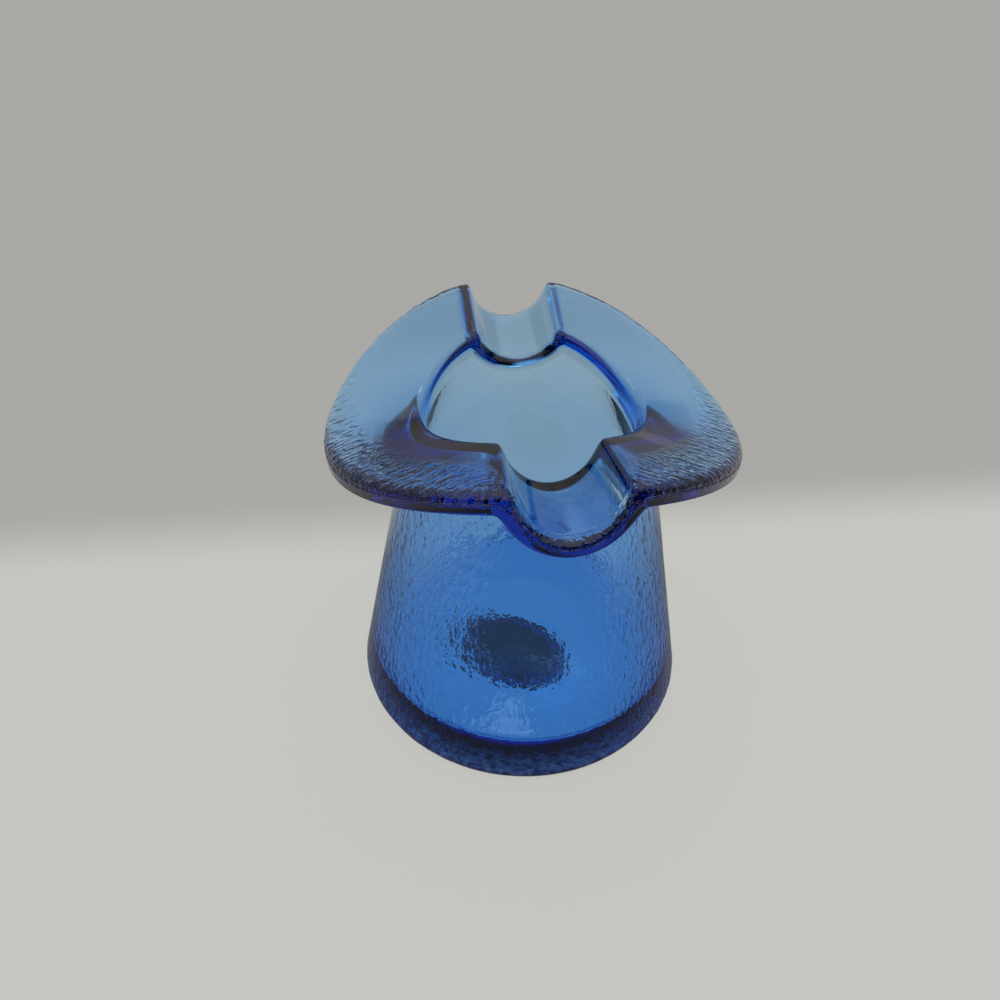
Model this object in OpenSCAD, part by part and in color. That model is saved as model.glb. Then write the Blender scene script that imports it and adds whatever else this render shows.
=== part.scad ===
// Pressed blue glass top hat that stands upside down on its crown: a tapered cup with a saddle-shaped brim
// and two half-round rests pressed across the brim, one at the front (-Y) and one at the rear (+Y).
// Millimetres, +Z up, origin in the middle of the foot.

/* [Crown] */
// Diameter of the foot, measured where the tapered wall meets the table
base_d = 68.6; // [66:0.2:71]
// Height of the crown wall's upper end, where the mouth ring starts
crown_h = 50; // [49:0.5:54]
// Diameter of the crown wall at its upper end
crown_top_d = 46.8; // [46.4:0.1:48]
// Thickness of the crown wall at the foot, measured level
wall_t = 3.3; // [2.8:0.1:3.8]
// Thickness of the crown wall at its upper end, measured level
wall_top_t = 2.85; // [2.4:0.05:3.3]
// Height of the floor inside the crown
floor_h = 7; // [4:0.5:8]
// Radius of the heel round the foot
heel_r = 2; // [1:0.5:3]
// Radius in the corner between the floor and the wall
floor_round = 1.5; // [1:0.5:6]
// Diameter of the shallow hollow under the foot
hollow_d = 44; // [44:1:50]
// Depth of the hollow under the foot
hollow_h = 0.5; // [0.4:0.1:1.5]
// Width of the slope round the hollow
hollow_slope = 5; // [2:0.5:5]

/* [Mouth] */
// Diameter of the mouth below its lip
mouth_d = 38.3; // [37.9:0.1:38.8]
// Mean height of the brim's top at the lip
mouth_h = 65; // [64:0.5:66]
// Radius of the lip between the mouth and the brim's top
lip_r = 1.7; // [1:0.1:1.9]
// Diameter of the narrow crease under the lip
neck_d = 37.6; // [36.6:0.1:38]
// Radius of the fillet between the crown and the brim's underside
root_r = 1.2; // [1:0.1:4]

/* [Brim] */
// Length of the brim, front to rear
brim_length = 76; // [74:0.5:80]
// Width of the brim, side to side
brim_width = 71.5; // [69:0.5:76]
// Thickness of the brim
brim_t = 3.5; // [3:0.1:4]
// How much thicker the brim is at the sides of the neck than elsewhere
side_extra = 3.7; // [0:0.1:4]
// How far the edge rises at the front and rear, and droops at the sides
brim_lift = 5.3; // [3:0.1:6]
// How much higher the edge is than the lip on average
brim_rise = 0.6; // [0:0.1:2]
// Height of the upright band round the lower half of the edge
edge_band = 1.9; // [1.5:0.1:2.2]
// Radius of the corner under the band
edge_corner = 0.6; // [0.3:0.1:1]
// Width of the roll from the band over to the brim's top
edge_roll = 2.6; // [1:0.1:4]

/* [Rests] */
// Radius of the round bottom of a rest
rest_r = 7.4; // [6:0.1:8]
// Steepness of a rest's sides, in degrees
rest_angle = 68; // [55:1:70]
// Height of a rest's bottom at the lip
rest_in_h = 60.7; // [60.5:0.1:63]
// Height of a rest's bottom at the edge
rest_out_h = 62.7; // [61:0.1:65]
// Thickness of the glass under a rest
rest_t = 2.7; // [2.2:0.1:3]
// Blend between a rest and the brim's top
rest_blend = 1.6; // [0.5:0.1:3]
// Blend between a rest and the brim's underside
under_blend = 2.4; // [0.5:0.1:4]

/* [Label] */
// Length of the oval label under the floor
label_l = 26; // [16:1:26]
// Width of the label
label_w = 18; // [10:1:22]
// Thickness of the label
label_t = 0.2; // [0.1:0.05:0.4]
// Turn of the label's long axis from the +X axis, in degrees
label_turn = -35; // [-90:5:90]
// Place of the label's middle to the right of the foot's middle
label_x = -2.5; // [-3:0.5:3]
// Place of the label's middle behind the foot's middle
label_y = -3.5; // [-3.5:0.5:3.5]

/* [Hidden] */

glass = [0.16, 0.38, 0.78];
brim_glass = [0.24, 0.46, 0.82];
rest_glass = [0.12, 0.30, 0.70];
label_paper = [0.10, 0.12, 0.16];

// Crown: both faces of the wall are straight cones, so each radius follows from the height
base_r = base_d / 2;
taper = (base_r - crown_top_d / 2) / crown_h;
lean = sqrt(1 + taper * taper);
inner_taper = taper + (wall_top_t - wall_t) / crown_h;
inner_lean = sqrt(1 + inner_taper * inner_taper);
function outer_r(z) = base_r - taper * z;
function inner_r(z) = base_r - wall_t - inner_taper * z;

// Brim: drawn flat and round first, between its nominal underside and top, then bent by place()
brim_top = mouth_h;
brim_under = mouth_h - brim_t;
brim_r = (brim_length + brim_width) / 4;
stretch = (brim_length - brim_width) / (brim_length + brim_width);
edge_r = brim_r - brim_t / 2;
mouth_r = mouth_d / 2;
lip_start_r = mouth_r + lip_r;
root_h = brim_under - root_r;
root_start_r = outer_r(root_h) + root_r;
saddle = brim_lift / edge_r;
tilt = brim_rise / (edge_r - lip_start_r);

// A rest takes a strip of the brim this far to each side of its middle
rest_half = 10.5;

// Steps of the swept solids
rest_steps = 28;
brim_steps = 40;
arc_steps = 6;
corner_steps = 3;
roll_steps = 7;
flat_steps = 4;
round_fn = 96;

function mix(a, b, t) = a + (b - a) * t;
function clamp01(t) = min(max(t, 0), 1);
function soft_min(a, b, k) = min(a, b) - pow(max(k - abs(a - b), 0), 2) / (4 * k);
function oval_arc(c, rx, ry, a0, a1, n) =
    [for (i = [0:n]) let (a = mix(a0, a1, i / n)) c + [rx * cos(a), ry * sin(a)]];
function arc(c, r, a0, a1, n) = oval_arc(c, r, r, a0, a1, n);

// Height of a rest's own surface: a round bottom that runs on into straight steep sides
function rest_z(x, bottom, r) =
    let (turn_x = r * sin(rest_angle), far = max(abs(x) - turn_x, 0), near = min(abs(x), turn_x))
    bottom + r - sqrt(r * r - near * near) + far * tan(rest_angle);
function edge_share(r) = (r - lip_start_r) / (edge_r - lip_start_r);
function rest_bottom(r) = mix(rest_in_h, rest_out_h, edge_share(r));
function saddle_z(x, y) =
    let (r = norm([x, y]))
    mouth_h + tilt * (r - lip_start_r) + saddle * (y * y - x * x) / r;
function top_z(x, y) =
    soft_min(saddle_z(x, y), rest_z(x, rest_bottom(norm([x, y])), rest_r), rest_blend);
function under_z(x, y) =
    let (
        r = norm([x, y]),
        under_rest = rest_z(x, rest_bottom(r) - rest_t, rest_r + rest_t)
    )
    soft_min(saddle_z(x, y) - brim_t, under_rest, under_blend);
// Extra glass under the brim: most at the sides of the neck, a little towards the front, none at the rear
function neck_extra(x, y) =
    let (r = norm([x, y]))
    side_extra * pow(x / r, 4) * (1 - y / r) * pow(1 - clamp01(edge_share(r)), 2);

// Bends a point of the flat, round drawing to its place: the brim is stretched to an oval, and each height
// moves with the underside and the top above it
function place(angle, q) =
    let (
        share = clamp01((q[1] - crown_h) / (brim_under - crown_h)),
        x = q[0] * sin(angle) * (1 - stretch * share),
        y = -q[0] * cos(angle) * (1 + stretch * share),
        low = under_z(x, y) - (q[0] > lip_start_r ? neck_extra(x, y) : 0),
        z = q[1] >= brim_under
            ? mix(low, top_z(x, y), (q[1] - brim_under) / brim_t)
            : mix(crown_h, low, share)
    )
    [x, y, z];

// Stations round the brim: parallel strips across a rest, and even turns along a side.
// zone 0 is the front rest, 1 the right side, 2 the rear rest, 3 the left side
function rest_turn(r) = asin(rest_half / r);
function station_angle(zone, t, r) =
    zone == 0 ? asin(mix(-rest_half, rest_half, t) / r)
    : zone == 1 ? mix(rest_turn(r), 180 - rest_turn(r), t)
    : zone == 2 ? 180 - asin(mix(rest_half, -rest_half, t) / r)
    : mix(180 + rest_turn(r), 360 - rest_turn(r), t);
function zone_steps(zone) = zone % 2 == 0 ? rest_steps : brim_steps;
function section(zone, t, loop) = [for (q = loop) place(station_angle(zone, t, q[0]), q)];
function zone_sections(zone, last, loop) =
    let (n = zone_steps(zone))
    [for (i = [0:n - 1 + last]) section(zone, i / n, loop)];

// Solid through a row of sections with the same number of points; a closed row joins its end to its start
module sweep(sections, closed) {
    rows = len(sections);
    n = len(sections[0]);
    points = [for (s = sections) for (p = s) p];
    spans = closed ? rows : rows - 1;
    sides = [
        for (i = [0:spans - 1]) for (j = [0:n - 1])
            let (
                a = i * n + j,
                b = i * n + (j + 1) % n,
                c = ((i + 1) % rows) * n + (j + 1) % n,
                d = ((i + 1) % rows) * n + j
            )
            each [[a, b, d], [b, c, d]]
    ];
    caps = closed ? [] : [[for (j = [n - 1:-1:0]) j], [for (j = [0:n - 1]) (rows - 1) * n + j]];
    polyhedron(points = points, faces = concat(sides, caps), convexity = 8);
}

// Flat drawings of the swept solids, as points at [radius, height]
mouth_loop = concat(
    [[outer_r(crown_h), crown_h]],
    arc([root_start_r, root_h], root_r, 180, 90, arc_steps),
    [[root_start_r, brim_top]],
    arc([lip_start_r, brim_top - lip_r], lip_r, 90, 180, arc_steps),
    [[neck_d / 2, brim_under], [inner_r(crown_h), crown_h]]
);
corner_at = [brim_r - edge_corner, brim_under + edge_corner];
roll_at = [brim_r - edge_roll, brim_under + edge_band];
brim_loop = concat(
    [for (i = [0:flat_steps - 1]) [mix(root_start_r, corner_at[0], i / flat_steps), brim_under]],
    arc(corner_at, edge_corner, -90, 0, corner_steps),
    oval_arc(roll_at, edge_roll, brim_t - edge_band, 0, 90, roll_steps),
    [for (i = [1:flat_steps]) [mix(roll_at[0], root_start_r, i / flat_steps), brim_top]]
);

module base_disc() {
    heel_at = [base_r - taper * heel_r - heel_r * lean, heel_r];
    heel_end = heel_at + heel_r / lean * [1, taper];
    color(glass)
    rotate_extrude($fn = round_fn) {
        polygon([
            [0, hollow_h], [hollow_d / 2 - hollow_slope, hollow_h], [hollow_d / 2, 0], [heel_at[0], 0],
            heel_at, heel_end, [outer_r(floor_h), floor_h], [0, floor_h]
        ]);
        intersection() {
            translate(heel_at) circle(heel_r, $fn = round_fn);
            square([base_r, floor_h]);
        }
    }
}

module crown_wall() {
    round_z = floor_h + floor_round;
    round_at = [inner_r(round_z) - floor_round * inner_lean, round_z];
    round_end = round_at + floor_round / inner_lean * [1, inner_taper];
    color(glass)
    rotate_extrude($fn = round_fn)
    difference() {
        polygon([
            [round_at[0], floor_h], [outer_r(floor_h), floor_h], [outer_r(crown_h), crown_h],
            [inner_r(crown_h), crown_h], round_end, round_at
        ]);
        translate(round_at) circle(floor_round, $fn = round_fn);
    }
}

module mouth_ring() {
    color(glass)
    sweep([for (zone = [0:3]) each zone_sections(zone, 0, mouth_loop)], true);
}

module brim_zone(zone) {
    sweep(zone_sections(zone, 1, brim_loop), false);
}

module brim_right() { color(brim_glass) brim_zone(1); }
module brim_left() { color(brim_glass) brim_zone(3); }
module front_rest() { color(rest_glass) brim_zone(0); }
module rear_rest() { color(rest_glass) brim_zone(2); }

module base_label() {
    oval = [
        for (i = [0:round_fn - 1])
            let (a = 360 * i / round_fn)
            [label_l / 2 * cos(a), label_w / 2 * sin(a)]
    ];
    color(label_paper)
    translate([label_x, label_y, hollow_h - label_t])
    rotate(label_turn)
    linear_extrude(label_t) polygon(oval);
}

base_disc();
crown_wall();
mouth_ring();
brim_right();
brim_left();
front_rest();
rear_rest();
base_label();
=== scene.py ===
"""Pressed blue glass top hat: its glass, its label and a pale stage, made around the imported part."""

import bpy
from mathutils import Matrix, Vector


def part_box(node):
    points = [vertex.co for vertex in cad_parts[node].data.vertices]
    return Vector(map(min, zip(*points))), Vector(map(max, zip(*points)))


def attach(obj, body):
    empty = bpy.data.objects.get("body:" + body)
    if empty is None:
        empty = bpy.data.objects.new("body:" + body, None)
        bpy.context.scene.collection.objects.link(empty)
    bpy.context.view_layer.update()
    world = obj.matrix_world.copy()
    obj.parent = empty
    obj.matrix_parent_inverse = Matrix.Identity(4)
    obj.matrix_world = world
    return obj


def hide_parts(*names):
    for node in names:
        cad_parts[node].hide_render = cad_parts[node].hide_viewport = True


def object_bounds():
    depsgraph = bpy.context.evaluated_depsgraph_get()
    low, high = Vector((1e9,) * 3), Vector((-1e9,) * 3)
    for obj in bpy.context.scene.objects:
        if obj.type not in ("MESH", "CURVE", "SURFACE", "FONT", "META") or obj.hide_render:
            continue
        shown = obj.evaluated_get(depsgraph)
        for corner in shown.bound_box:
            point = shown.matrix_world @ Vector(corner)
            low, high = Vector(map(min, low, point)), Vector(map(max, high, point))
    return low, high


bl_info = {
    "name": "Pressed Glass Hat",
    "version": (1, 0, 0),
    "blender": (4, 5, 0),
    "location": "View3D > Sidebar > Glass Hat",
    "description": "Presses a blue glass hat with a pebbled wall and a wrinkled brim, on a pale stage",
    "category": "Add Mesh",
}

import math

import bmesh
import bpy
from bpy.props import FloatProperty, FloatVectorProperty, IntProperty, PointerProperty
from mathutils import Matrix, Quaternion, Vector, noise

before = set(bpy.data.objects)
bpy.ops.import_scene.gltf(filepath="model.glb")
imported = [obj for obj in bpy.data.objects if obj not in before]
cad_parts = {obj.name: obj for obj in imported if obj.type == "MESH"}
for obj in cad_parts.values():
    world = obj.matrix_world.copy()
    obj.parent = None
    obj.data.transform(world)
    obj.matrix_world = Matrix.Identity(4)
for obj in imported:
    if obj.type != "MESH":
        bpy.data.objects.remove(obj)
CAD_LOW, CAD_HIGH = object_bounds()

MM = 0.001
GLASS_NODES = (
    "base_disc",
    "crown_wall",
    "mouth_ring",
    "brim_right",
    "brim_left",
    "front_rest",
    "rear_rest",
)
FLOOR_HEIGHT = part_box("base_disc")[1].z
CROWN_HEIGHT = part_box("crown_wall")[1].z
LABEL_LOW, LABEL_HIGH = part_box("base_label")

# steps along the half section, closest where the glass is pebbled or wrinkled
HOLLOW_STEPS = 3
SLOPE_STEPS = 6
FOOT_STEPS = 8
HEEL_STEPS = 8
WALL_STEPS = 82
ROOT_STEPS = 10
UNDERSIDE_STEPS = 6
EDGE_CORNER_STEPS = 4
EDGE_BAND_STEPS = 3
EDGE_ROLL_STEPS = 9
TOP_STEPS = 30
LIP_STEPS = 8
CREASE_STEPS = 4
NECK_STEPS = 3
INSIDE_STEPS = 7
FLOOR_CORNER_STEPS = 6
FLOOR_STEPS = 4
LABEL_STEPS = 96
TABLE_STEPS = 128

# where a zone of the glass starts and where it is full
SIDE_WALL = (0.3, 0.8)  # sideways, as a share of the radius
REAR_WALL = (-0.3, 0.15)  # to the rear, as a share of the radius
UPPER_WALL = (0.5, 0.9)  # as a share of the crown's height
FRONT_BRIM = (-0.5, 0.2)  # to the front, as a share of the radius
BESIDE_REST = (1.0, 1.4)  # sideways, in radii of a rest
OUTER_BRIM = (0.4, 0.8)  # as a share of the way from the lip to the edge
WORN_FOOT = (0.35, 0.62)  # outward, as a share of the hollow's diameter

FOOT_HEIGHT = 0.2  # height up to which the glass counts as the foot, as a share of the heel
SAME_POINT = 0.0005 * MM

# where a part of the floor starts and where it is full, in metres
# FAR_FLOOR: where the painted shade of the far floor starts and where it is full
FAR_FLOOR = (0.03, 0.06)
# PAST_HAT: where the painted pool of light behind the hat fades out
PAST_HAT = (0.11, 0.17)
# FLOOR_ASIDE: where the floor to the sides is left out of the painted shade in reflections
FLOOR_ASIDE = (0.05, 0.13)

# where a part of the room starts and where it is full, as parts of a unit direction
CEILING = (0.36, 0.48)
STRAIGHT_ABOVE = (0.80, 0.90)
CAMERA_SIDE = (0.2, 0.7)
OVER_CAMERA = (0.5, 0.9)


def size(name, description, millimetres):
    """A length that a user may change, given in millimetres."""
    metres = millimetres * MM
    return FloatProperty(name=name, description=description, default=metres, unit="LENGTH", precision=5)


def turn(name, description, degrees):
    """An angle that a user may change, given in degrees."""
    return FloatProperty(name=name, description=description, default=math.radians(degrees), subtype="ANGLE")


def amount(name, description, value):
    """A plain number that a user may change."""
    return FloatProperty(name=name, description=description, default=value)


def tint(name, description, colour):
    """A colour that a user may change."""
    return FloatVectorProperty(
        name=name, description=description, default=colour, subtype="COLOR", min=0, max=1
    )


def spot(name, description, metres):
    """A place, or a width and a height, that a user may change, given in metres."""
    return FloatVectorProperty(
        name=name, description=description, default=metres, size=len(metres), unit="LENGTH"
    )


class HatForm(bpy.types.PropertyGroup):
    """Sizes of the pressing."""

    base_diameter: size("Base", "Diameter where the tapered wall would meet the table", 68.6)
    crown_top: size("Crown top", "Diameter of the wall at its upper end", 46.8)
    wall: size("Wall", "Thickness of the wall at the foot, measured level", 3.3)
    wall_top: size("Wall top", "Thickness of the wall at its upper end, measured level", 2.85)
    heel: size("Heel", "Radius of the heel round the foot", 2)
    floor_round: size("Floor corner", "Radius between the floor and the wall", 1.5)
    hollow: size("Hollow", "Diameter of the hollow under the foot", 44)
    hollow_depth: size("Hollow depth", "Depth of the hollow under the foot", 0.5)
    hollow_slope: size("Hollow slope", "Width of the slope round the hollow", 5)
    mouth: size("Mouth", "Diameter of the mouth below its lip", 38.3)
    mouth_height: size("Mouth height", "Mean height of the brim's top at the lip", 65)
    lip: size("Lip", "Radius of the lip", 1.7)
    neck: size("Neck", "Diameter of the narrow crease under the lip", 37.6)
    crease: size("Crease", "Height over which the crease is rounded", 0.5)
    root: size("Root", "Radius between the wall and the brim's underside", 1.2)
    brim: size("Brim", "Thickness of the brim", 3.5)
    side_extra: size("Side extra", "How much thicker the brim is at the sides of the neck", 3.7)
    brim_lift: size("Brim lift", "How far the edge rises at the front and droops at the sides", 5.3)
    brim_rise: size("Brim rise", "How much higher the edge is than the lip on average", 0.6)
    edge_band: size("Edge band", "Height of the smooth band round the lower half of the edge", 1.9)
    edge_corner: size("Edge corner", "Radius under the smooth band", 0.6)
    edge_roll: size("Edge roll", "Width of the roll from the band over to the brim's top", 2.6)
    parting_step: size("Parting step", "Step where the two halves of the mould met", 0.12)
    rest: size("Rest", "Radius of a rest's round bottom", 7.4)
    rest_slope: turn("Rest slope", "Steepness of a rest's sides", 68)
    rest_inner: size("Rest inner height", "Height of a rest's bottom at the lip", 60.7)
    rest_outer: size("Rest outer height", "Height of a rest's bottom at the edge", 62.7)
    rest_glass: size("Rest glass", "Thickness of the glass under a rest", 2.7)
    rest_blend: size("Rest blend", "Blend between a rest and the brim's top", 1.6)
    under_blend: size("Under blend", "Blend between a rest and the brim's underside", 2.4)
    clearance: size("Clearance", "How far the rim stays inside the packed part's box", 0.005)
    turns: IntProperty(name="Steps", description="Steps round the hat", default=480, min=48)
    crowding: amount("Crowding", "How much closer the steps are at the rests than at the sides", 0.45)


class GlassFinish(bpy.types.PropertyGroup):
    """Colour and surface of the glass."""

    colour: tint("Colour", "Colour that the glass lets through", (0.10, 0.59, 0.915))
    depth: amount("Depth", "How strongly the glass takes up the other colours, per metre", 340)
    bend: amount("Refraction", "Refractive index of the glass", 1.5)
    pebble_size: size("Pebble size", "Spacing of the pebbles on the wall", 1.0)
    pebble_depth: size("Pebble depth", "Depth of the pebbles on the wall", 0.5)
    pebble_length: amount("Pebble length", "How much longer than wide the pebbles are", 1.9)
    rear_pebbles: amount("Rear pebbles", "Share of the pebbles' depth on the rear wall", 0.12)
    low_pebbles: amount("Low pebbles", "Least share of the pebbles' depth low on the wall", 0.32)
    wrinkle_size: size("Wrinkle size", "Spacing of the wrinkles on the brim", 1.0)
    wrinkle_depth: size("Wrinkle depth", "Depth of the wrinkles on the brim", 1.2)
    wrinkle_length: amount("Wrinkle length", "How much longer than wide the wrinkles are", 1.4)
    wrinkle_slant: amount("Wrinkle slant", "How far the wrinkles turn towards the sides", 0.6)
    front_band: size("Front band", "Width of the wrinkled band at the front of the brim", 10.5)
    rear_band: size("Rear band", "Width of the wrinkled band at the rear of the brim", 2.4)
    roll_wrinkles: amount("Roll wrinkles", "Share of the wrinkles' depth on the edge roll", 0.3)
    wrinkle_skin: amount("Wrinkle skin", "Roughness of the wrinkled band", 0.04)
    wear: amount("Wear", "Most roughness of the worn foot and of the dull skin under the brim", 0.6)
    wear_size: size("Wear size", "Spacing of the worn blotches", 1.3)
    front_dull: amount("Front dull", "Share of that roughness under the front of the brim", 0.9)
    rear_dull: amount("Rear dull", "Share of that roughness under the rear of the brim", 0.25)
    grain: amount("Grain", "Share of the relief that is too fine for the mesh and left to the shader", 0.75)


class LabelForm(bpy.types.PropertyGroup):
    """The oval label in the hollow."""

    length: size("Length", "Length of the oval", 26)
    width: size("Width", "Width of the oval", 18)
    angle: turn("Turn", "Turn of the long axis", -35)
    gap: size("Gap", "Air between the label and the glass", 0.03)
    paper: tint("Paper", "Colour of the paper", (0.012, 0.016, 0.04))
    border: tint("Border", "Colour of the line round the paper", (0.75, 0.80, 0.90))
    border_start: amount("Border start", "Where the line starts, as a share of the way out", 0.80)
    border_end: amount("Border end", "Where the line ends, as a share of the way out", 0.95)
    border_soft: amount("Border softness", "Width of the line's soft edges", 0.04)
    paper_grain: amount("Paper grain", "Grains of the paper per metre", 900)


class StageLook(bpy.types.PropertyGroup):
    """Floor, light and camera."""

    floor: tint("Floor", "Colour of the floor", (0.63, 0.63, 0.60))
    # Painted shade: the floor behind the hat is darker, standing in for the light falling off away from the
    # hat
    far_floor_shade: tint("Far floor", "Colour of the floor behind the hat", (0.44, 0.435, 0.415))
    floor_fill: amount("Floor fill", "Share of the floor's light that doesn't depend on shadows", 0.85)
    floor_seen: amount("Floor seen", "Strength of that even light, seen from the camera", 0.93)
    # Painted shade: the near floor in front of the hat looks darker where the glass mirrors it
    mirror_shade: amount("Floor mirror", "Strength of the near floor's light, mirrored by the glass", 0.3)
    # Painted light: the near floor seen through the glass shows no shadow of the hat and is a little
    # brighter
    glow_through_glass: amount("Floor through", "Strength of the near floor's light through the glass", 1.05)
    # Painted light: a brighter pool on the floor just behind the hat, seen through the glass
    glow_behind_hat: amount("Floor beyond", "Strength of the light behind the hat through the glass", 1.2)
    floor_gap: size("Floor gap", "Air between the foot and the floor", 0.06)
    floor_radius: size("Floor radius", "Radius of the floor", 6000)
    lamp_power: amount("Lamp", "Power of the soft box overhead, in watts", 0.2)
    lamp_size: spot("Lamp size", "Width and height of the soft box", (0.32, 0.09))
    lamp_place: spot("Lamp place", "Middle of the soft box", (0.116, 0.58, 0.80))
    sky: tint("Sky", "Light from the ceiling", (0.8, 0.8, 0.785))
    overhead: amount("Overhead", "How much brighter the ceiling is straight above", 1.5)
    horizon: tint("Horizon", "Light from the sides and the rear", (0.32, 0.315, 0.31))
    dark_side: tint("Dark side", "What stands behind the camera", (0.05, 0.042, 0.04))
    camera_place: spot("Camera", "Place of the camera", (-0.01851, -0.10865, 0.12633))
    camera_turn: turn("Camera turn", "How far the camera looks to the right", 7.05)
    camera_dip: turn("Camera dip", "How far the camera looks down", 37.78)
    camera_roll: turn("Camera roll", "How far the camera is rolled", 1.25)
    lens: amount("Lens", "Focal length in millimetres on a sensor 36 mm wide", 26.16)


class HatSettings(bpy.types.PropertyGroup):
    """All settings of the hat and its stage."""

    form: PointerProperty(type=HatForm)
    glass: PointerProperty(type=GlassFinish)
    label: PointerProperty(type=LabelForm)
    stage: PointerProperty(type=StageLook)


def mix(a, b, share):
    return a + (b - a) * share


def clamp01(value):
    return min(max(value, 0.0), 1.0)


def smooth(low, high, value):
    """0 below low, 1 above high and a soft step between."""
    share = clamp01((value - low) / (high - low))
    return share * share * (3 - 2 * share)


def soft_min(a, b, blend):
    return min(a, b) - max(blend - abs(a - b), 0) ** 2 / (4 * blend)


def oval_arc(centre, width, height, start, end, steps):
    """Points (radius, height) along an arc of an oval, with its angles in degrees."""
    angles = [math.radians(mix(start, end, i / steps)) for i in range(steps + 1)]
    return [(centre[0] + width * math.cos(a), centre[1] + height * math.sin(a)) for a in angles]


def arc(centre, radius, start, end, steps):
    return oval_arc(centre, radius, radius, start, end, steps)


def curve(start, corner, end, share):
    """Point on the curve that leaves start towards a corner and arrives at end from there."""
    near = (mix(start[0], corner[0], share), mix(start[1], corner[1], share))
    far = (mix(corner[0], end[0], share), mix(corner[1], end[1], share))
    return mix(near[0], far[0], share), mix(near[1], far[1], share)


def part_way(start, end, drop):
    """Point on the way from start to end at a height that differs from start's by drop."""
    share = drop / abs(end[1] - start[1])
    return mix(start[0], end[0], share), mix(start[1], end[1], share)


def line(start, end, steps):
    """Points from start to end, without the two ends."""
    shares = [i / steps for i in range(1, steps)]
    return [(mix(start[0], end[0], s), mix(start[1], end[1], s)) for s in shares]


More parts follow.
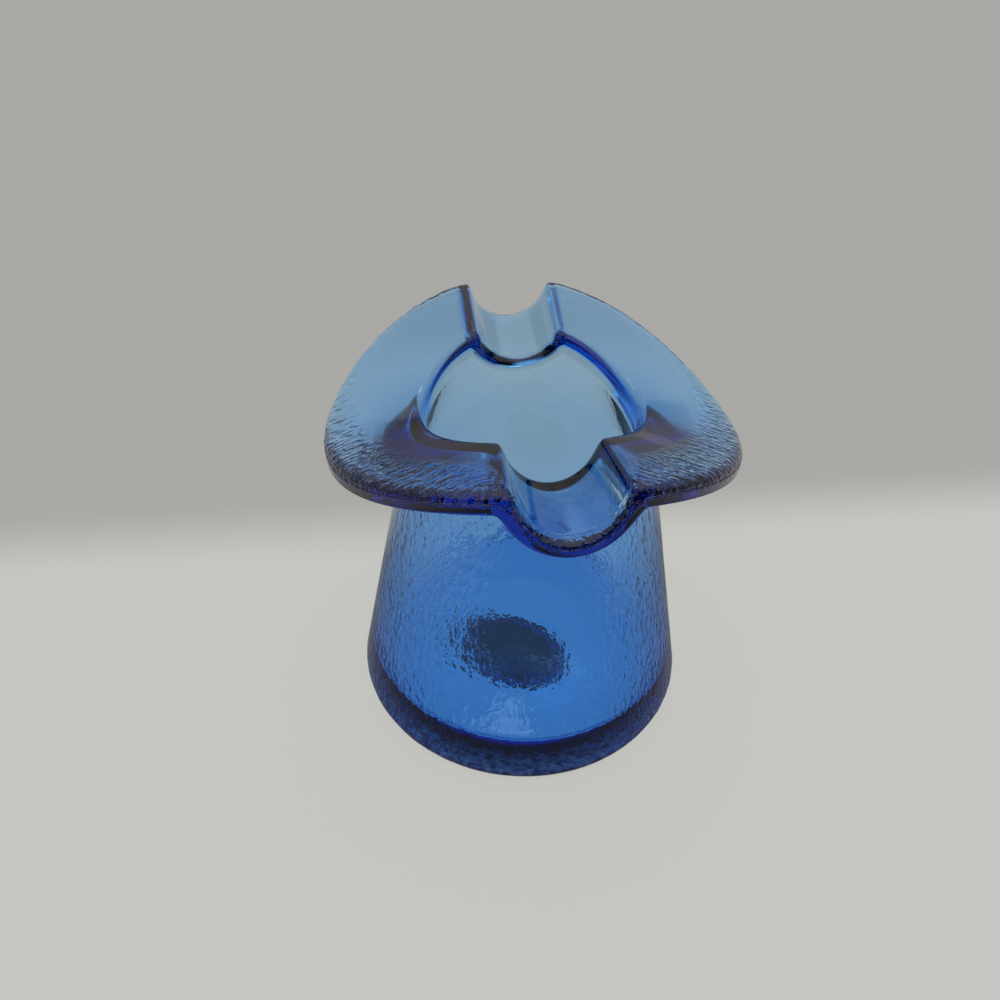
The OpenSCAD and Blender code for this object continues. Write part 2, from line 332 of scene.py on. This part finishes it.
class Pressing:
    """The hat's shape: a half section with a flat round brim, and the bend that makes the brim a saddle."""

    def __init__(self, form):
        self.form = form
        self.base_r = form.base_diameter / 2
        self.taper = (self.base_r - form.crown_top / 2) / CROWN_HEIGHT
        self.lean = math.hypot(1, self.taper)
        self.inner_taper = self.taper + (form.wall_top - form.wall) / CROWN_HEIGHT
        span = CAD_HIGH - CAD_LOW
        self.top = form.mouth_height
        self.under = self.top - form.brim
        self.rim_r = (span.x + span.y) / 4 - form.clearance
        self.stretch = (span.y - span.x) / (span.y + span.x)
        self.edge_r = self.rim_r - form.brim / 2
        self.mouth_r = form.mouth / 2
        self.lip_r = self.mouth_r + form.lip
        self.root_height = self.under - form.root
        self.root_r = self.outer(self.root_height) + form.root
        self.saddle = form.brim_lift / self.edge_r
        self.tilt = form.brim_rise / (self.edge_r - self.lip_r)

    def outer(self, height):
        return self.base_r - self.taper * height

    def inner(self, height):
        return self.base_r - self.form.wall - self.inner_taper * height

    def section(self):
        """Half section from under the foot, up the outside, over the brim and down to the floor."""
        form = self.form
        hollow_r = form.hollow / 2
        flat_r = hollow_r - form.hollow_slope
        shares = [i / SLOPE_STEPS for i in range(SLOPE_STEPS + 1)]
        slope = [(mix(flat_r, hollow_r, s), form.hollow_depth * (1 - smooth(0, 1, s))) for s in shares]
        wall_tilt = math.degrees(math.atan(self.taper))
        heel_at = (self.base_r - self.taper * form.heel - form.heel * self.lean, form.heel)
        heel = arc(heel_at, form.heel, -90, wall_tilt, HEEL_STEPS)
        root = arc((self.root_r, self.root_height), form.root, 180, 90, ROOT_STEPS)
        corner_at = (self.rim_r - form.edge_corner, self.under + form.edge_corner)
        parting = self.under + form.edge_band
        roll_r = self.rim_r - form.parting_step - form.edge_roll
        lip = arc((self.lip_r, self.top - form.lip), form.lip, 90, 180, LIP_STEPS)
        inner_tilt = math.degrees(math.atan(self.inner_taper))
        centre_height = FLOOR_HEIGHT + form.floor_round
        centre_r = self.inner(centre_height) - form.floor_round * math.hypot(1, self.inner_taper)
        centre = (centre_r, centre_height)
        floor_corner = arc(centre, form.floor_round, inner_tilt, -90, FLOOR_CORNER_STEPS)
        wall_end = (self.inner(CROWN_HEIGHT), CROWN_HEIGHT)
        crease = (form.neck / 2, self.under)
        into_crease = part_way(crease, lip[-1], form.crease)
        out_of_crease = part_way(crease, wall_end, form.crease)
        crease_shares = [i / CREASE_STEPS for i in range(CREASE_STEPS + 1)]
        neck = [curve(into_crease, crease, out_of_crease, s) for s in crease_shares]
        edge = (
            arc(corner_at, form.edge_corner, -90, 0, EDGE_CORNER_STEPS)
            + line((self.rim_r, corner_at[1]), (self.rim_r, parting), EDGE_BAND_STEPS)
            + [(self.rim_r, parting)]
            + oval_arc((roll_r, parting), form.edge_roll, self.top - parting, 0, 90, EDGE_ROLL_STEPS)
        )
        return (
            [(0.0, form.hollow_depth)]
            + line((0.0, form.hollow_depth), slope[0], HOLLOW_STEPS)
            + slope
            + line(slope[-1], heel[0], FOOT_STEPS)
            + heel
            + line(heel[-1], root[0], WALL_STEPS)
            + root
            + line(root[-1], edge[0], UNDERSIDE_STEPS)
            + edge
            + line(edge[-1], lip[0], TOP_STEPS)
            + lip
            + neck
            + line(neck[-1], wall_end, NECK_STEPS)
            + [wall_end]
            + line(wall_end, floor_corner[0], INSIDE_STEPS)
            + floor_corner
            + line(floor_corner[-1], (0.0, FLOOR_HEIGHT), FLOOR_STEPS)
            + [(0.0, FLOOR_HEIGHT)]
        )

    def rest_height(self, x, bottom, radius):
        """Height of a rest's own surface: a round bottom that runs on into straight steep sides."""
        turn_x = radius * math.sin(self.form.rest_slope)
        near = min(abs(x), turn_x)
        far = max(abs(x) - turn_x, 0)
        round_height = bottom + radius - math.sqrt(radius * radius - near * near)
        return round_height + far * math.tan(self.form.rest_slope)

    def outward(self, radius):
        """Share of the way from the lip to the edge."""
        return (radius - self.lip_r) / (self.edge_r - self.lip_r)

    def brim_heights(self, x, y):
        """Heights of the brim's underside and top at a place."""
        form = self.form
        radius = math.hypot(x, y)
        bottom = mix(form.rest_inner, form.rest_outer, self.outward(radius))
        saddle = self.top + self.tilt * (radius - self.lip_r) + self.saddle * (y * y - x * x) / radius
        under_rest = self.rest_height(x, bottom - form.rest_glass, form.rest + form.rest_glass)
        top = soft_min(saddle, self.rest_height(x, bottom, form.rest), form.rest_blend)
        return soft_min(saddle - form.brim, under_rest, form.under_blend), top

    def neck_extra(self, x, y):
        """Extra glass under the brim, most at the sides of the neck and none at the front and the rear."""
        radius = math.hypot(x, y)
        share = clamp01(self.outward(radius))
        return self.form.side_extra * (x / radius) ** 4 * (1 - y / radius) * (1 - share) ** 2

    def bend(self, point):
        """Moves a point of the round drawing to its place on the hat."""
        radius = math.hypot(point.x, point.y)
        angle = math.atan2(point.x, -point.y)
        angle -= self.form.crowding / 2 * math.sin(2 * angle)
        share = clamp01((point.z - CROWN_HEIGHT) / (self.under - CROWN_HEIGHT))
        x = radius * math.sin(angle) * (1 - self.stretch * share)
        y = -radius * math.cos(angle) * (1 + self.stretch * share)
        if share == 0:
            return Vector((x, y, point.z))
        under, top = self.brim_heights(x, y)
        if radius > self.lip_r:
            under -= self.neck_extra(x, y)
        if point.z >= self.under:
            return Vector((x, y, mix(under, top, (point.z - self.under) / self.form.brim)))
        return Vector((x, y, mix(CROWN_HEIGHT, under, share)))


class Wire:
    """A value in a node tree. Arithmetic on it adds Math nodes."""

    def __init__(self, tree, socket):
        self.tree = tree
        self.socket = socket

    def math(self, operation, *values):
        return self.tree.wire("ShaderNodeMath", {"operation": operation}, dict(enumerate(values)))

    def __add__(self, other):
        return self.math("ADD", self, other)

    __radd__ = __add__

    def __sub__(self, other):
        return self.math("SUBTRACT", self, other)

    def __rsub__(self, other):
        return self.math("SUBTRACT", other, self)

    def __mul__(self, other):
        return self.math("MULTIPLY", self, other)

    __rmul__ = __mul__

    def step(self, low, high):
        """0 below low, 1 above high and a soft step between."""
        inputs = {"Value": self, "From Min": low, "From Max": high}
        return self.tree.wire("ShaderNodeMapRange", {"interpolation_type": "SMOOTHSTEP"}, inputs)


class Finish:
    """The node tree of a material or world."""

    def __init__(self, owner):
        owner.use_nodes = True
        self.nodes = owner.node_tree.nodes
        self.links = owner.node_tree.links
        self.nodes.clear()

    def node(self, kind, settings=None, inputs=None):
        """Adds a node: first its settings, then the values or links of its sockets."""
        made = self.nodes.new(kind)
        for key, value in (settings or {}).items():
            setattr(made, key, value)
        for key, value in (inputs or {}).items():
            if isinstance(value, Wire):
                self.links.new(value.socket, made.inputs[key])
            else:
                made.inputs[key].default_value = value
        return made

    def wire(self, kind, settings=None, inputs=None, output=0):
        """Adds a node and gives one of its outputs."""
        return Wire(self, self.node(kind, settings, inputs).outputs[output])

    def parts(self, vector):
        """The three parts of a vector."""
        made = self.node("ShaderNodeSeparateXYZ", inputs={"Vector": vector})
        return [Wire(self, socket) for socket in made.outputs]

    def blend(self, share, first, second):
        """Mixes two colours."""
        inputs = {"Factor": share, "A": first, "B": second}
        made = self.node("ShaderNodeMix", {"data_type": "RGBA"})
        for key, value in inputs.items():
            socket = next(s for s in made.inputs if s.enabled and s.name == key)
            if isinstance(value, Wire):
                self.links.new(value.socket, socket)
            else:
                socket.default_value = value
        return Wire(self, next(s for s in made.outputs if s.enabled))

    def dim(self, colour, share):
        """Multiplies a colour by a number."""
        return self.wire("ShaderNodeVectorMath", {"operation": "SCALE"}, {0: colour, "Scale": share})


def opaque(colour):
    return (*colour, 1.0)


def pressed_glass(finish):
    """Blue glass that takes up red and green along the way, pebbled on the wall and wrinkled on the brim."""
    material = bpy.data.materials.new("pressed_glass")
    tree = Finish(material)
    place = tree.wire("ShaderNodeTexCoord", output="Object")
    x, y, z = tree.parts(place)
    pebbled = tree.wire("ShaderNodeAttribute", {"attribute_name": "pebbled"}, output="Fac")
    wrinkled = tree.wire("ShaderNodeAttribute", {"attribute_name": "wrinkled"}, output="Fac")
    upright = tree.wire("ShaderNodeCombineXYZ", inputs={0: x, 1: y, 2: z * (1 / finish.pebble_length)})
    pebbles = tree.wire(
        "ShaderNodeTexNoise",
        inputs={"Vector": upright, "Scale": 1 / finish.pebble_size, "Detail": 2.0, "Roughness": 0.5},
    )
    aslant = y + x.math("ABSOLUTE", x) * finish.wrinkle_slant
    flow = tree.wire("ShaderNodeCombineXYZ", inputs={0: x * (1 / finish.wrinkle_length), 1: aslant, 2: z})
    wrinkles = tree.wire(
        "ShaderNodeTexNoise",
        inputs={"Vector": flow, "Scale": 1 / finish.wrinkle_size, "Detail": 1.0, "Roughness": 0.5},
    )
    relief = pebbles * pebbled * finish.pebble_depth + wrinkles * wrinkled * finish.wrinkle_depth
    height = relief * finish.grain
    normal = tree.wire("ShaderNodeBump", inputs={"Strength": 1.0, "Distance": 1.0, "Height": height})
    dull = tree.wire("ShaderNodeAttribute", {"attribute_name": "dull"}, output="Fac")
    blotches = tree.wire("ShaderNodeTexNoise", inputs={"Vector": place, "Scale": 1 / finish.wear_size})
    roughness = wrinkled * finish.wrinkle_skin + dull * finish.wear * blotches
    shader = tree.wire(
        "ShaderNodeBsdfPrincipled",
        inputs={
            "Base Color": opaque((1.0, 1.0, 1.0)),
            "Roughness": roughness,
            "IOR": finish.bend,
            "Transmission Weight": 1.0,
            "Normal": normal,
        },
    )
    volume = tree.wire(
        "ShaderNodeVolumeAbsorption", inputs={"Color": opaque(finish.colour), "Density": finish.depth}
    )
    tree.node("ShaderNodeOutputMaterial", inputs={"Surface": shader, "Volume": volume})
    return material


def label_paper(label):
    """Plain dark paper with a fine grain and a pale line near its edge."""
    material = bpy.data.materials.new("label_paper")
    tree = Finish(material)
    place = tree.wire("ShaderNodeTexCoord", output="Object")
    grain = tree.wire(
        "ShaderNodeTexNoise", inputs={"Vector": place, "Scale": label.paper_grain, "Detail": 4.0}
    )
    middle = (LABEL_LOW + LABEL_HIGH) / 2
    oval = tree.wire(
        "ShaderNodeMapping",
        {"vector_type": "TEXTURE"},
        {
            "Vector": place,
            "Location": middle,
            "Rotation": (0.0, 0.0, label.angle),
            "Scale": (label.length / 2, label.width / 2, 1.0),
        },
    )
    reach = tree.wire("ShaderNodeVectorMath", {"operation": "LENGTH"}, {0: oval}, output="Value")
    started = reach.step(label.border_start, label.border_start + label.border_soft)
    ended = reach.step(label.border_end - label.border_soft, label.border_end)
    bordered = started * (1 - ended)
    dark = opaque(tuple(c * 0.7 for c in label.paper))
    pale = opaque(tuple(c * 1.4 for c in label.paper))
    colour = tree.blend(bordered, tree.blend(grain, dark, pale), opaque(label.border))
    normal = tree.wire("ShaderNodeBump", inputs={"Strength": 0.3, "Distance": 0.02 * MM, "Height": grain})
    shader = tree.wire(
        "ShaderNodeBsdfPrincipled",
        inputs={"Base Color": colour, "Roughness": 0.55 + 0.2 * grain, "Normal": normal},
    )
    tree.node("ShaderNodeOutputMaterial", inputs={"Surface": shader})
    return material


def floor_paper(stage):
    """Pale matt table. Part of what is seen of it is even, which softens the hat's shadow on it. Its light
    is painted: darker farther back, seen through the glass without the hat's shadow and brighter just behind
    the hat, and darker in front of the hat where the glass mirrors it.
    """
    material = bpy.data.materials.new("floor_paper")
    tree = Finish(material)
    across, away, _ = tree.parts(tree.wire("ShaderNodeTexCoord", output="Object"))
    # painted shade: the floor darkens from near the hat to the far floor
    behind = away.step(*FAR_FLOOR)
    colour = tree.blend(behind, opaque(stage.floor), opaque(stage.far_floor_shade))
    ray = tree.node("ShaderNodeLightPath").outputs
    # painted light: the floor seen through the glass glows evenly, without the hat's shadow
    through = Wire(tree, ray["Is Transmission Ray"])
    mirrored = Wire(tree, ray["Is Glossy Ray"]) * (1 - through)
    seen = Wire(tree, ray["Is Camera Ray"])
    share = through + mirrored + seen * stage.floor_fill
    matt = tree.wire("ShaderNodeBsdfDiffuse", inputs={"Color": colour})
    # painted shade: what the glass mirrors of the near floor, not to the sides, is dimmed
    aside = across.math("ABSOLUTE", across).step(*FLOOR_ASIDE)
    near = through * (stage.glow_through_glass - 1) + mirrored * (1 - aside) * (stage.mirror_shade - 1)
    # painted light: the pool just behind the hat, seen through the glass
    beyond = through * (stage.glow_behind_hat - 1) * (1 - away.step(*PAST_HAT))
    glow = 1 + near * (1 - behind) + beyond * behind + seen * (stage.floor_seen - 1)
    even = tree.wire("ShaderNodeEmission", inputs={"Color": tree.dim(colour, glow), "Strength": 1.0})
    shader = tree.wire("ShaderNodeMixShader", inputs={0: share, 1: matt, 2: even})
    tree.node("ShaderNodeOutputMaterial", inputs={"Surface": shader})
    return material


def add_piece(name, mesh, material):
    """Links a finished mesh as an object at the origin."""
    data = bpy.data.meshes.new(name)
    mesh.to_mesh(data)
    mesh.free()
    for polygon in data.polygons:
        polygon.use_smooth = True
    data.materials.append(material)
    made = bpy.data.objects.new(name, data)
    bpy.context.scene.collection.objects.link(made)
    return made


class GLASSHAT_OT_press_glass(bpy.types.Operator):
    """Press the glass: spin its half section, bend the brim and roughen the wall and the brim"""

    bl_idname = "glass_hat.press_glass"
    bl_label = "Press Glass"

    def execute(self, context):
        settings = context.scene.glass_hat
        pressing = Pressing(settings.form)
        bm = bmesh.new()
        points = [bm.verts.new((0.0, -radius, height)) for radius, height in pressing.section()]
        edges = [bm.edges.new(pair) for pair in zip(points, points[1:])]
        bmesh.ops.spin(
            bm,
            geom=points + edges,
            cent=(0, 0, 0),
            axis=(0, 0, 1),
            angle=math.tau,
            steps=settings.form.turns,
            use_merge=True,
        )
        bmesh.ops.remove_doubles(bm, verts=bm.verts, dist=SAME_POINT)
        bmesh.ops.recalc_face_normals(bm, faces=bm.faces)
        self.mark(bm, pressing, settings.glass)
        for vert in bm.verts:
            vert.co = pressing.bend(vert.co)
        self.roughen(bm, settings.glass)
        glass = add_piece("hat_glass", bm, pressed_glass(settings.glass))
        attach(glass, "root")
        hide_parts(*GLASS_NODES)
        return {"FINISHED"}

    def mark(self, bm, pressing, finish):
        """Marks where the round drawing becomes pebbled, wrinkled or dull."""
        layers = bm.verts.layers.float
        pebbled, wrinkled, dull = [layers.new(name) for name in ("pebbled", "wrinkled", "dull")]
        form = pressing.form
        parting = pressing.under + form.edge_band
        for vert in bm.verts:
            radius = math.hypot(vert.co.x, vert.co.y)
            height = vert.co.z
            if height < pressing.under and radius > pressing.outer(height) - form.wall / 2:
                near_brim = smooth(pressing.root_height, pressing.under, height)
                vert[pebbled] = self.wall_pebbles(pressing, finish, vert.co, radius)
                vert[dull] = near_brim * self.underside_skin(finish, vert.co, radius)
            elif height > parting and radius > pressing.lip_r:
                vert[wrinkled] = self.brim_wrinkles(pressing, finish, vert.co, radius)
            elif pressing.under <= height < parting and radius >= pressing.root_r:
                near_neck = 1 - smooth(*OUTER_BRIM, pressing.outward(radius))
                vert[dull] = near_neck * self.underside_skin(finish, vert.co, radius)
            elif height < FOOT_HEIGHT * form.heel:
                vert[dull] = smooth(*WORN_FOOT, radius / form.hollow)

    def wall_pebbles(self, pressing, finish, place, radius):
        """Depth of the pebbles on the wall: full at the sides, shallower at the front and the rear."""
        form = pressing.form
        side = smooth(*SIDE_WALL, abs(place.x) / radius)
        rear = smooth(*REAR_WALL, place.y / radius)
        low = 1 - smooth(*UPPER_WALL, place.z / CROWN_HEIGHT)
        share = max(mix(side, finish.rear_pebbles, rear), finish.low_pebbles * low)
        near_brim = smooth(pressing.root_height - form.root, pressing.under, place.z)
        return share * smooth(0, form.heel / 2, place.z) * (1 - near_brim)

    def brim_wrinkles(self, pressing, finish, place, radius):
        """Depth of the wrinkles on the brim: a band along the edge, wide at the front."""
        form = pressing.form
        bent = pressing.bend(place)
        front = smooth(*FRONT_BRIM, -bent.y / radius) * smooth(*BESIDE_REST, abs(bent.x) / form.rest)
        band = mix(finish.rear_band, finish.front_band, front)
        share = smooth(pressing.rim_r - band, pressing.rim_r - band / 3, radius)
        on_roll = smooth(pressing.rim_r - form.edge_roll, pressing.rim_r, radius)
        return share * mix(1, finish.roll_wrinkles, on_roll)

    def underside_skin(self, finish, place, radius):
        """Share of the wear that the brim's underside has at a place."""
        return mix(finish.rear_dull, finish.front_dull, smooth(*FRONT_BRIM, -place.y / radius))

    def roughen(self, bm, finish):
        """Presses the pebbles and wrinkles into the surface."""
        pebbled = bm.verts.layers.float["pebbled"]
        wrinkled = bm.verts.layers.float["wrinkled"]
        bm.normal_update()
        moves = []
        for vert in bm.verts:
            x, y, z = vert.co
            upright = Vector((x, y, z / finish.pebble_length)) / (2 * finish.pebble_size)
            aslant = y + finish.wrinkle_slant * abs(x)
            flow = Vector((x / finish.wrinkle_length, aslant, z)) / (2 * finish.wrinkle_size)
            pebble = vert[pebbled] * finish.pebble_depth * (0.5 + 0.5 * noise.noise(upright))
            wrinkle = vert[wrinkled] * finish.wrinkle_depth * (0.5 + 0.5 * noise.noise(flow))
            moves.append(-vert.normal * (pebble + wrinkle) * (1 - finish.grain))
        for vert, move in zip(bm.verts, moves):
            vert.co += move


class GLASSHAT_OT_stick_label(bpy.types.Operator):
    """Stick the plain oval label into the hollow under the foot"""

    bl_idname = "glass_hat.stick_label"
    bl_label = "Stick Label"

    def execute(self, context):
        settings = context.scene.glass_hat.label
        middle = (LABEL_LOW + LABEL_HIGH) / 2
        thickness = LABEL_HIGH.z - LABEL_LOW.z - settings.gap
        bm = bmesh.new()
        bmesh.ops.create_circle(bm, cap_ends=True, radius=0.5, segments=LABEL_STEPS)
        oval = Matrix.Diagonal((settings.length, settings.width, 1, 1))
        turned = Matrix.Rotation(settings.angle, 4, "Z")
        place = Matrix.Translation((middle.x, middle.y, LABEL_LOW.z))
        bmesh.ops.transform(bm, matrix=place @ turned @ oval, verts=bm.verts)
        lifted = bmesh.ops.extrude_face_region(bm, geom=list(bm.faces))
        raised = [g for g in lifted["geom"] if isinstance(g, bmesh.types.BMVert)]
        bmesh.ops.translate(bm, vec=(0, 0, thickness), verts=raised)
        bmesh.ops.recalc_face_normals(bm, faces=bm.faces)
        label = add_piece("hat_label", bm, label_paper(settings))
        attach(label, "root")
        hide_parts("base_label")
        return {"FINISHED"}


class GLASSHAT_OT_set_stage(bpy.types.Operator):
    """Set the stage: a pale floor, soft light and the camera"""

    bl_idname = "glass_hat.set_stage"
    bl_label = "Set Stage"

    def execute(self, context):
        stage = context.scene.glass_hat.stage
        self.lay_floor(stage)
        self.light(context.scene, stage)
        self.aim_camera(context.scene, stage)
        context.scene.view_settings.view_transform = "Standard"
        return {"FINISHED"}

    def lay_floor(self, stage):
        bm = bmesh.new()
        bmesh.ops.create_circle(bm, cap_ends=True, radius=stage.floor_radius, segments=TABLE_STEPS)
        bmesh.ops.translate(bm, vec=(0, 0, -stage.floor_gap), verts=bm.verts)
        add_piece("pale_floor", bm, floor_paper(stage))

    def light(self, scene, stage):
        lamp = bpy.data.lights.new("soft_box", "AREA")
        lamp.shape = "RECTANGLE"
        lamp.size, lamp.size_y = stage.lamp_size
        lamp.energy = stage.lamp_power
        made = bpy.data.objects.new("soft_box", lamp)
        place = Vector(stage.lamp_place)
        made.location = place
        made.rotation_mode = "QUATERNION"
        made.rotation_quaternion = (-place).to_track_quat("-Z", "Y")
        scene.collection.objects.link(made)
        scene.world = scene.world or bpy.data.worlds.new("soft_room")
        tree = Finish(scene.world)
        direction = tree.wire("ShaderNodeTexCoord", output="Generated")
        _, ahead, up = tree.parts(direction)
        bright = opaque(tuple(stage.overhead * c for c in stage.sky))
        ceiling = tree.blend(up.step(*STRAIGHT_ABOVE), opaque(stage.sky), bright)
        room = tree.blend(up.step(*CEILING), opaque(stage.horizon), ceiling)
        behind = (-1 * ahead).step(*CAMERA_SIDE) * (1 - up.step(*OVER_CAMERA))
        colour = tree.blend(behind, room, opaque(stage.dark_side))
        backing = tree.wire("ShaderNodeBackground", inputs={"Color": colour, "Strength": 1.0})
        tree.node("ShaderNodeOutputWorld", inputs={"Surface": backing})

    def aim_camera(self, scene, stage):
        data = bpy.data.cameras.new("photo_camera")
        data.lens = stage.lens
        data.sensor_width = 36
        data.clip_start = 0.005
        made = bpy.data.objects.new("photo_camera", data)
        sideways = stage.camera_turn
        ahead = Vector((math.sin(sideways), math.cos(sideways), -math.tan(stage.camera_dip)))
        level = ahead.to_track_quat("-Z", "Y")
        made.location = stage.camera_place
        made.rotation_mode = "QUATERNION"
        made.rotation_quaternion = level @ Quaternion((0, 0, 1), stage.camera_roll)
        scene.collection.objects.link(made)
        scene.camera = made


class GLASSHAT_PT_panel(bpy.types.Panel):
    """Lists the steps that make the hat."""

    bl_idname = "GLASSHAT_PT_panel"
    bl_label = "Glass Hat"
    bl_space_type = "VIEW_3D"
    bl_region_type = "UI"
    bl_category = "Glass Hat"

    def draw(self, context):
        for operator in OPERATORS:
            self.layout.operator(operator.bl_idname)


OPERATORS = (GLASSHAT_OT_set_stage, GLASSHAT_OT_press_glass, GLASSHAT_OT_stick_label)
CLASSES = (HatForm, GlassFinish, LabelForm, StageLook, HatSettings, *OPERATORS, GLASSHAT_PT_panel)


def register():
    for cls in CLASSES:
        bpy.utils.register_class(cls)
    bpy.types.Scene.glass_hat = PointerProperty(type=HatSettings)


def unregister():
    del bpy.types.Scene.glass_hat
    for cls in reversed(CLASSES):
        bpy.utils.unregister_class(cls)


def main():
    register()
    bpy.ops.glass_hat.set_stage()
    bpy.ops.glass_hat.press_glass()
    bpy.ops.glass_hat.stick_label()


if __name__ == "__main__":
    main()
